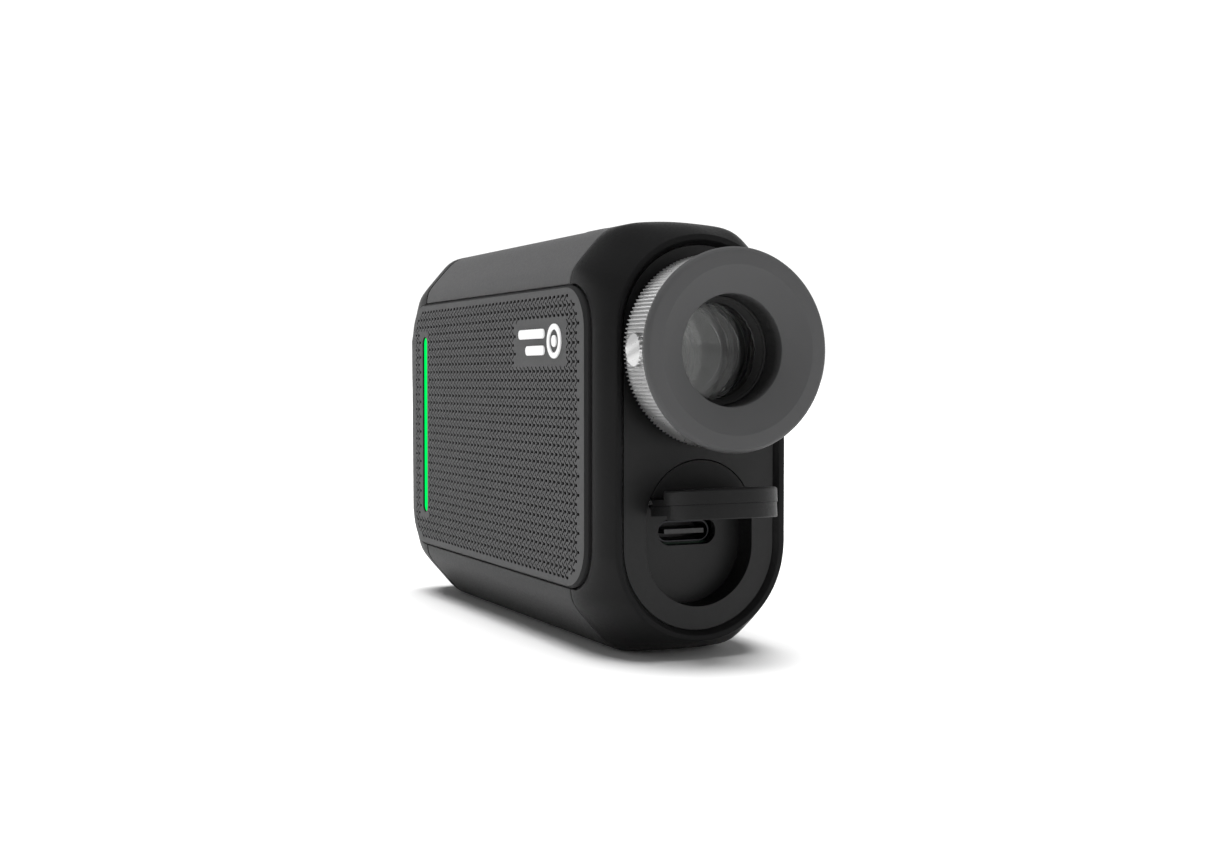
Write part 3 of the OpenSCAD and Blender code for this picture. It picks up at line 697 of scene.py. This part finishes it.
# The grip: a field of short holes, each with two shallow arms that lead forward, up and down
PITCH_Y, PITCH_Z, GRIP_ROWS, GRIP_COLUMNS, GRIP_START = 1.64, 1.4133, 31, 52, 7.9
HOLE_L, HOLE_H, HOLE_DEPTH = 0.78, 0.22, 1.4
ARM, TIP, SLOPE, ARM_DEPTH = (0.66, 0.86), (0.88, 0.64), 0.17, 0.15
FIELD_Y, FIELD_Z, FIELD_R = 7.25, 21.5, 5.5
PANEL_EDGE = [(0, 0.62), (0.04, 0.52), (0.24, 0.1), (0.28, 0.04), (0.35, 0.0)]


def notch(shape, y, z, up, down, place):
    """A deep short hole with up to two shallow arms. Returns the loop it leaves in the face."""
    deep = [(0.0, HOLE_H), (-HOLE_L + 0.07, HOLE_H), (-HOLE_L, 0.08)]
    deep += [(p, -q) for p, q in reversed(deep)]
    low = [(ARM[0], -ARM[1]), (TIP[0], -TIP[1])] if down else []
    high = [TIP, ARM] if up else []
    crotch = [(SLOPE, 0.0)] if up and down else []
    loop = deep + low + crotch + high

    def put(points, depth):
        return shape.ring([place(y + p, z + q, depth) for p, q in points])

    top = put(loop, 0)
    n = len(deep)
    floor = put(deep, HOLE_DEPTH)
    shape.faces += [(top[i], top[i + 1], floor[i + 1], floor[i]) for i in range(n - 1)]
    shape.faces.append(tuple(floor))
    if up or down:
        shallow = put(loop[n - 1:] + loop[:1], ARM_DEPTH)
        ends = top[n - 1:] + top[:1]
        shape.faces += [(ends[i], ends[i + 1], shallow[i + 1], shallow[i]) for i in range(len(ends) - 1)]
        shape.faces.append((shallow[-1], shallow[0], floor[n - 1], floor[0]))
        shape.faces.append((top[0], shallow[-1], floor[0]))
        shape.faces.append((top[n - 1], shallow[0], floor[n - 1]))
        if up and down:
            shape.faces.append((shallow[0], shallow[1], shallow[2], shallow[3]))
            shape.faces.append((shallow[0], shallow[3], shallow[6]))
            shape.faces.append((shallow[3], shallow[4], shallow[5], shallow[6]))
        else:
            shape.faces.append(tuple(shallow))
    else:
        shape.faces.append((top[n - 1], top[0], floor[0], floor[n - 1]))
    return top, [(y + p, z + q) for p, q in loop]


def in_opening(d):
    """The outline of the panel's opening, moved inwards by d."""
    return round_rect(OPEN_Y + d, -OPEN_Z + d, LENGTH - OPEN_Y - d, OPEN_Z - d, OPEN_R - d, 12)


def panel(side, blanks, slots):
    """A side panel. The grip leaves the blanks plain: y and z of two opposite corners of each."""
    def place(y, z, d):
        return (side * (PANEL_X - d), y, z)

    shape = Shape()
    foot, face = edged(shape, in_opening(0.25), place, PANEL_EDGE, PANEL_X - FLOOR_X)
    feet, loops = [foot], [face]
    for loop in slots:
        foot, face = edged(shape, loop, place, soft(0.12, 3), PANEL_X - FLOOR_X, hole=True)
        feet.append(foot)
        loops.append(face)
    field = turned(round_rect(FIELD_Y, -FIELD_Z, LENGTH - FIELD_Y, FIELD_Z, FIELD_R, 12))
    for row in range(GRIP_ROWS):
        z = PITCH_Z * (row - GRIP_ROWS // 2)
        shift = PITCH_Y / 2 if row % 2 else 0.0
        for k in range(GRIP_COLUMNS):
            y = GRIP_START + shift + PITCH_Y * k

            def free(p, q):
                return inside(field, y + p, z + q) and not any(
                    a < y + p < c and b < z + q < d for a, b, c, d in blanks)

            if not all(free(p, q) for p in (-HOLE_L, 0.0) for q in (-HOLE_H + 0.02, HOLE_H - 0.02)):
                continue
            up = free(*ARM) and free(*TIP)
            down = free(ARM[0], -ARM[1]) and free(TIP[0], -TIP[1])
            loops.append(notch(shape, y, z, up, down, place))
    shape.fill(loops)
    shape.fill(feet)
    return shape


MARK_BLANK, LIGHT_BLANK = (13.0, 11.4, 32.7, 18.0), (78.5, -17.2, 82.4, 17.2)
left = panel(-1, [MARK_BLANK, LIGHT_BLANK], [light_slot(0.1)])
left = piece(left, "Left_panel", "housing", ["left_panel"], "panel")
right = piece(panel(1, [], []), "Right_panel", "housing", ["right_panel"], "panel")

# The sloping edge all round a panel gets a darker copy of the rubber: painted shade on the flank
border = in_opening(1)
for thing in (left, right):
    thing.data.materials.append(SHADED_EDGE)
    for face in thing.data.polygons:
        x, y, z = (1000 * v for v in face.center)
        if abs(x) < PANEL_X - 0.02 and not inside(border, y + MID_Y, z - HALF_H):
            face.material_index = 1

light = slab(light_slot(0), from_left(-16.0), soft(0.12, 3), 2.64)
piece(light, "Light_bar", "housing", ["light_bar"], "light")


MARK_RISE, MARK_DEPTH = 0.25, 0.35


def mark_part(outer, hole=None):
    """A thin raised figure on the left panel."""
    shape = Shape()
    place = from_left(-PANEL_X - MARK_RISE)
    foot, face = edged(shape, outer, place, soft(0.06, 3), MARK_DEPTH)
    feet, faces = [foot], [face]
    if hole:
        foot, face = edged(shape, hole, place, soft(0.06, 3), MARK_DEPTH, hole=True)
        feet.append(foot)
        faces.append(face)
    shape.fill(faces)
    shape.fill(feet)
    return shape


def joined(shapes):
    whole = Shape()
    for shape in shapes:
        base = len(whole.points)
        whole.points += shape.points
        whole.faces += [tuple(i + base for i in f) for f in shape.faces]
    return whole


mark = joined([
    mark_part(circle(MARK_Y, MARK_Z, 2.65, 56), circle(MARK_Y, MARK_Z, 1.8, 48)),
    mark_part(circle(MARK_Y, MARK_Z, 0.9, 32)),
    mark_part(lying(MARK_Y + 9.2, MARK_Z + 1.25, 10.6, 1.5)),
    mark_part(lying(MARK_Y + 7.7, MARK_Z - 1.35, 7.6, 1.5)),
])
piece(mark, "Badge_mark", "housing", ["badge"], "mark")


# ---- face plates ----


def facing(y, front=False):
    """Places a loop in x and z on a plane across Y, with depth running into the body."""
    return lambda x, z, d: (x, LENGTH - y - d if front else y + d, z)


def prism_walls(shape, loop, place, d0, d1):
    a = shape.ring([place(u, v, d0) for u, v in loop])
    b = shape.ring([place(u, v, d1) for u, v in loop])
    shape.band(a, b)
    return (a, loop), (b, loop)


PLATE_R, EYE_R, POCKET_R, POCKET_WALL = 12.45, 11.55, 8.8, 1.3
WINDOWS = ((EYE_Z, 10.3), (LASER_Z, 5.9))
WINDOW_EDGE = [(0, 1.15), (0.9, 0.1), (0.97, 0.03), (1.06, 0.0)]


def rear_plate():
    """The rear face, with the eyepiece's hole, and the pocket under the port cover with the port's slot."""
    shape = Shape()
    place = facing(FACE_Y)
    body = SEAT_Y - FACE_Y
    rim = obround(0, -ARC_Z, ARC_Z, PLATE_R, 40)
    eye = turned(circle(0, EYE_Z, EYE_R, 96))
    pocket = turned(obround(0, POCKET_LOW, POCKET_TOP, POCKET_R, 32))
    boss = turned(obround(0, POCKET_LOW, POCKET_TOP, POCKET_R + POCKET_WALL, 32))
    slot = turned(lying(0, PORT_Z, 9.7, 3.9))
    rim_foot, rim_face = edged(shape, rim, place, soft(0.06, 2), body)
    eye_foot, eye_face = edged(shape, eye, place, soft(0.05, 2), body, hole=True)
    pocket_foot, pocket_face = edged(shape, pocket, place, soft(0.1, 3), FLOOR_Y - FACE_Y, hole=True)
    slot_foot, slot_face = edged(shape, slot, facing(FLOOR_Y), soft(0.07, 3), POCKET_WALL, hole=True)
    boss_top, boss_foot = prism_walls(shape, boss, place, body, FLOOR_Y + POCKET_WALL - FACE_Y)
    shape.fill([rim_face, eye_face, pocket_face])
    shape.fill([rim_foot, eye_foot, boss_top])
    shape.fill([pocket_foot, slot_face])
    shape.fill([boss_foot, slot_foot])
    return shape


def front_plate():
    """The front face, with bevelled windows for the objective and the laser."""
    shape = Shape()
    place = facing(FACE_Y, True)
    body = SEAT_Y - FACE_Y
    foot, face = edged(shape, obround(0, -ARC_Z, ARC_Z, PLATE_R, 40), place, soft(0.06, 2), body)
    feet, faces = [foot], [face]
    for z, r in WINDOWS:
        foot, face = edged(shape, circle(0, z, r, 96), place, WINDOW_EDGE, body, hole=True)
        feet.append(foot)
        faces.append(face)
    shape.fill(faces)
    shape.fill(feet)
    return shape


piece(rear_plate(), "Rear_face", "housing", ["rear_face_plate"], "face_plate")
piece(front_plate(), "Front_face", "housing", ["front_face_plate"], "face_plate")


# ---- charging port and its cover ----

ANCHOR_TOP, ANCHOR_R = -8.7, 8.72
chord = math.degrees(math.asin((ANCHOR_TOP - POCKET_TOP) / ANCHOR_R))
anchor = arc(0, POCKET_TOP, ANCHOR_R, chord, 180 - chord, 40)
anchor = slab(anchor, facing(FACE_Y), soft(0.07, 3), FLOOR_Y - FACE_Y)
piece(anchor, "Port_anchor", "housing", ["port_anchor"], "port_cover")


def opened(shape):
    """Turns the port cover about its hinge, from level to its open position."""
    c, s = math.cos(math.radians(TILT)), math.sin(math.radians(TILT))
    for i, (x, y, z) in enumerate(shape.points):
        y, z = y - HINGE_Y, z - HINGE_Z
        shape.points[i] = (x, HINGE_Y + y * c + z * s, HINGE_Z - y * s + z * c)
    return shape


def half_disc(r, corner, back):
    """Round towards -Y, with a straight back whose corners are eased."""
    return (
        arc(0, FLAP_Y, r, 180, 360, 56)
        + arc(r - corner, back - corner, corner, 0, 90, 6)
        + arc(-r + corner, back - corner, corner, 90, 180, 6)
    )


def above(top):
    """Places a loop in x and y on a level, with depth running down."""
    return lambda x, y, d: (x, y, top - d)


def block(x0, y0, x1, y1, z0, z1, e):
    """A box with eased corners and upper edges."""
    return slab(round_rect(x0, y0, x1, y1, e, 3), above(z1), soft(0.8 * e, 3), z1 - z0)


def rod(x0, x1, r, e):
    """A closed rod on the hinge line."""
    shape = Shape()
    ends = []
    for x, q in ((x0, r - e), (x0 + e, r), (x1 - e, r), (x1, r - e)):
        ends.append(shape.ring([(x, y, z) for y, z in circle(HINGE_Y, HINGE_Z, q, 48)]))
    for a, b in zip(ends, ends[1:]):
        shape.band(a, b)
    for x, ring in ((x0, ends[0]), (x1, ends[-1])):
        shape.cap(ring, (x, HINGE_Y, HINGE_Z))
    return shape


# The cover's parts while it is level: the lid above the middle level, the seal below it
LID_R, SEAL_R, LID_TOP, LEVEL = 8.5, 8.38, -7.75, -9.95
ARM_X, TONGUE_X = 8.4, 7.6
SEAL_FOOT = [(0.05, 0.08), (0.16, 0.17)]
lid = joined([
    slab(half_disc(LID_R, 1.1, FLAP_Y + 1.5), above(LID_TOP), soft(0.42, 6), 2.17, soft(0.06, 2)[1:]),
    block(-ARM_X, FLAP_Y - 1, ARM_X, -0.1, LEVEL, -9.05, 0.12),
])
piece(opened(lid), "Port_lid", "port_flap", ["port_lid"], "port_cover")
seal = joined([
    slab(half_disc(SEAL_R, 0.5, FLAP_Y + 0.52), above(LEVEL), soft(0.05, 2), 2.0, SEAL_FOOT),
    block(-ARM_X, FLAP_Y - 1, ARM_X, 0.3, -11.4, LEVEL, 0.14),
    block(-TONGUE_X, -0.2, TONGUE_X, HINGE_Y, -10.5, LEVEL, 0.1),
    rod(-TONGUE_X, TONGUE_X, 1.0, 0.1),
])
piece(opened(seal), "Port_seal", "port_flap", ["port_seal"], "port_cover")


# ---- eyepiece ----

FRONT = -10.93
cup = eased_corners([
    (8.9, -2.6, 0.05), (8.9, -8.3, 0.05), (13.3, -8.3, 0.05), (13.3, -8.8, 0.05), (14.2, -8.8, 0.1),
    (14.5, -9.5, 0.5), (14.6, -10.13, 0.5), (14.4, -10.63, 0.4), (14.05, -10.88, 0.3), (13.6, FRONT, 0.4),
    (12.06, FRONT, 0.3), (8.05, -9.02, 0.25), (7.95, -2.6, 0.05),
], 0.1, 5)
piece(spin(cup, n=192), "Eyecup", "diopter", ["eyecup"], "eyecup")

RIDGES, RIDGE_DEPTH, RIDGE_EASE = 140, 0.4, 0.3
RING_R, RING_FRONT, RING_RUN, RING_ROWS = 14.0, -8.3, 6.0, 30
PAD_Y, PAD_R, PAD_RISE = -5.6, 2.35, 0.14


def ridges(t, r, y):
    """How far the surface is out of the ring's radius: the knurls go in, and a round pad on the left
    side stands out."""
    if r < RING_R:
        return 0.0
    turn = (t * RIDGES / (2 * math.pi)) % 1
    tooth = 0.5 - 0.5 * math.cos(2 * math.pi * turn)
    z = RING_R * math.sin(t)
    edge = max(0.0, min(1.0, (y - RING_FRONT) / RIDGE_EASE))
    if math.cos(t) < 0 and math.hypot(z, y - PAD_Y) < PAD_R:
        return PAD_RISE - 0.03 * math.sin(3.1 * z + 0.9 * y)
    return -RIDGE_DEPTH * tooth * edge - 0.12 * (1 - edge)


ring_rows = [(RING_R, RING_FRONT + RING_RUN * k / RING_ROWS) for k in range(RING_ROWS + 1)]
ring_rows += [(13.2, -2.3), (11.55, -2.3), (11.55, -7.2), (8.9, -7.2), (8.9, -8.3), (13.2, -8.3)]
piece(spin(ring_rows, n=8 * RIDGES, wave=ridges), "Diopter_ring", "diopter", ["diopter_ring"], "ring",
      crisp=60, weighted=False)

barrel = eased_corners([
    (10.0, -7.0), (11.5, -7.0), (11.5, -2.15), (12.3, -2.15), (12.3, 0.7), (11.5, 0.7), (11.5, 14.0),
    (10.0, 14.0),
], 0.08, 3)
piece(spin(barrel), "Eyepiece_barrel", "housing", ["eyepiece_barrel"], "barrel")

lens_cell = eased_corners([
    (7.5, -4.93), (7.85, -4.93), (7.85, -0.4), (9.95, -0.4), (9.95, 12.4), (8.6, 12.4), (8.6, 3), (6.9, 1),
    (6.9, -1.6), (7.5, -1.6),
], 0.04, 2)
piece(spin(lens_cell), "Eye_lens_cell", "lens_cell", ["eye_lens_cell"], "barrel")

retainer = eased_corners([(7.4, -4.6), (7.5, -4.6), (7.5, -3.2), (7.0, -3.2)], 0.03, 2)
piece(spin(retainer), "Eye_lens_retainer", "lens_cell", ["eye_lens_retainer"], "barrel")

LENS_ROWS, LENS_SIDES = 24, 96


def lens(r, y0, y1, bulge0, bulge1, z=EYE_Z):
    """A lens with two crowned faces."""
    shape = Shape()
    steps = [k / LENS_ROWS for k in range(1, LENS_ROWS + 1)]
    rows = [(r * t, y0 - bulge0 * (1 - t * t)) for t in steps]
    rows += [(r * t, y1 + bulge1 * (1 - t * t)) for t in reversed(steps)]
    rings = [shape.ring([(x, y, v) for x, v in circle(0, z, q, LENS_SIDES)]) for q, y in rows]
    for a, b in zip(rings, rings[1:]):
        shape.band(a, b)
    shape.cap(rings[0], (0, y0 - bulge0, z))
    shape.cap(rings[-1], (0, y1 + bulge1, z))
    return shape


eye_lens = lens(7.44, -3, -1.66, 0.35, 0.2)
piece(eye_lens, "Eye_lens", "lens_cell", ["eye_lens"], "lens", COATED, weighted=False)
for k, (r, y) in enumerate(((6.2, 0.7), (6.0, 3.7), (5.4, 5.0))):
    inner_lens = lens(r, y, y + 0.3, 0.05, 0.05)
    piece(inner_lens, f"Inner_lens_{k + 1}", "lens_cell", [], "lens", INSIDE, weighted=False)
spacer = [(6.75, -0.62), (6.9, -0.62), (6.9, -0.2), (6.75, -0.2)]
piece(spin(eased_corners(spacer, 0.06, 3)), "Lens_spacer", "lens_cell", [], "barrel", SHEATH)
field_lens = lens(8.58, 6, 8.4, 1.6, 1.2)
piece(field_lens, "Field_lens", "lens_cell", ["field_lens"], "lens", COATED, weighted=False)


# ---- front optics ----

END = LENGTH - SEAT_Y - 0.1
objective = lens(10.37, END - 7.95, END - 4.4, 0.2, 1.5)
piece(objective, "Objective_lens", "housing", ["objective_lens"], "lens", OBJECTIVE, weighted=False)
laser = lens(5.97, END - 5.95, END - 3.4, 0.1, 0.9, z=LASER_Z)
piece(laser, "Laser_lens", "housing", ["laser_lens"], "laser_lens", weighted=False)
retainer = eased_corners([(9.7, END - 4.1), (10.4, END - 4.4), (10.4, END), (10.2, END)], 0.05, 2)
piece(spin(retainer), "Objective_retainer", "housing", ["objective_retainer"], "barrel")
retainer = eased_corners([(5.4, END - 3.2), (6.0, END - 3.4), (6.0, END), (5.8, END)], 0.05, 2)
piece(spin(retainer, z=LASER_Z), "Laser_retainer", "housing", ["laser_retainer"], "barrel")


# ---- connector ----

PORT_L, PORT_H, PORT_WALL, PORT_Y = 8.94, 3.26, 0.3, 6.1
sleeve = Shape()
outer = turned(lying(0, PORT_Z, PORT_L, PORT_H))
bore = turned(lying(0, PORT_Z, PORT_L - 2 * PORT_WALL, PORT_H - 2 * PORT_WALL))
outer_foot, outer_face = edged(sleeve, outer, facing(PORT_Y), soft(0.08, 3), 6.25)
bore_foot, bore_face = edged(sleeve, bore, facing(PORT_Y), soft(0.08, 3), 5.95, hole=True)
sleeve.fill([outer_face, bore_face])
sleeve.fill([outer_foot])
sleeve.fill([bore_foot])
piece(sleeve, "Usb_sleeve", "housing", ["usb_shell"], "connector")


# ---- every CAD part that still shows ----

slot_of = {entry["node"]: entry["material_slot"] for entry in frame["record"]["subparts"]}
for name, node in frame["nodes"].items():
    if node.hide_render:
        continue
    node.data.materials.clear()
    node.data.materials.append(BY_SLOT[slot_of[name]])


# ---- studio ----

HORIZON_LIGHT, UPPER_LIGHT, BACKDROP = 1.03, 0.22, 1.1
DIM_TOWARDS, DIM_LEFT = (-0.94, -0.34, 0), 0.3

world = bpy.data.worlds.new("Studio")
bpy.context.scene.world = world
world.use_nodes = True
sky = world.node_tree
heading = sky.nodes.new("ShaderNodeTexCoord").outputs["Generated"]
split = sky.nodes.new("ShaderNodeSeparateXYZ")
sky.links.new(heading, split.inputs[0])
towards = sky.nodes.new("ShaderNodeVectorMath")
towards.operation = "DOT_PRODUCT"
towards.inputs[1].default_value = DIM_TOWARDS
sky.links.new(heading, towards.inputs[0])
by_height = ranged(sky, split.outputs["Z"], 0.25, 0.45, HORIZON_LIGHT, UPPER_LIGHT, smooth=True)
by_side = ranged(sky, towards.outputs["Value"], 0.4, 0.9, 1.0, DIM_LEFT, smooth=True)
# The camera sees a plain backdrop in place of this light
shown = sky.nodes.new("ShaderNodeMix")
shown.data_type = "FLOAT"
shown.inputs["B"].default_value = BACKDROP
sky.links.new(product(sky, by_height, by_side), shown.inputs["A"])
sky.links.new(sky.nodes.new("ShaderNodeLightPath").outputs["Is Camera Ray"], shown.inputs["Factor"])
sky.links.new(shown.outputs["Result"], sky.nodes["Background"].inputs["Strength"])
sky.nodes["Background"].inputs["Color"].default_value = (1, 1, 1, 1)

floor_mesh = bpy.data.meshes.new("Floor")
corners = ((-20, -20), (20, -20), (20, 20), (-20, 20))  # metres
floor_mesh.from_pydata([(u, v, 0) for u, v in corners], [], [(0, 1, 2, 3)])
floor_mesh.materials.append(finish_of("Floor_white", (0.9, 0.9, 0.9), 0.9, grain=0.002, fine=60, gloss=0.0))
floor = bpy.data.objects.new("Floor", floor_mesh)
bpy.context.scene.collection.objects.link(floor)


def softbox(name, energy, spread, elevation, azimuth):
    """A distant soft light from an elevation and a heading, in degrees. The heading runs from +X to +Y."""
    data = bpy.data.lights.new(name, "SUN")
    data.energy = energy
    data.angle = math.radians(spread)
    lamp = bpy.data.objects.new(name, data)
    e, h = math.radians(elevation), math.radians(azimuth)
    source = Vector((math.cos(e) * math.cos(h), math.cos(e) * math.sin(h), math.sin(e)))
    lamp.rotation_euler = source.to_track_quat("Z", "Y").to_euler()
    lamp.visible_glossy = False
    bpy.context.scene.collection.objects.link(lamp)


softbox("Top_softbox", 4.9, 52, 88, 90)

CAMERA_LENS, CAMERA_AT = 45.95, (-0.10853, -0.24105, 0.04178)
CAMERA_DOWN, CAMERA_TURN = 1.868, -24.862  # degrees
camera_data = bpy.data.cameras.new("Camera")
camera_data.lens = CAMERA_LENS
camera_data.sensor_width = 36
camera_data.sensor_fit = "HORIZONTAL"
camera_data.clip_start, camera_data.clip_end = 0.005, 100
camera = bpy.data.objects.new("Camera", camera_data)
camera.location = CAMERA_AT
camera.rotation_euler = (math.radians(90 - CAMERA_DOWN), 0, math.radians(CAMERA_TURN))
bpy.context.scene.collection.objects.link(camera)
bpy.context.scene.camera = camera
bpy.context.scene.view_settings.view_transform = "Standard"
bpy.context.scene.view_settings.look = "None"
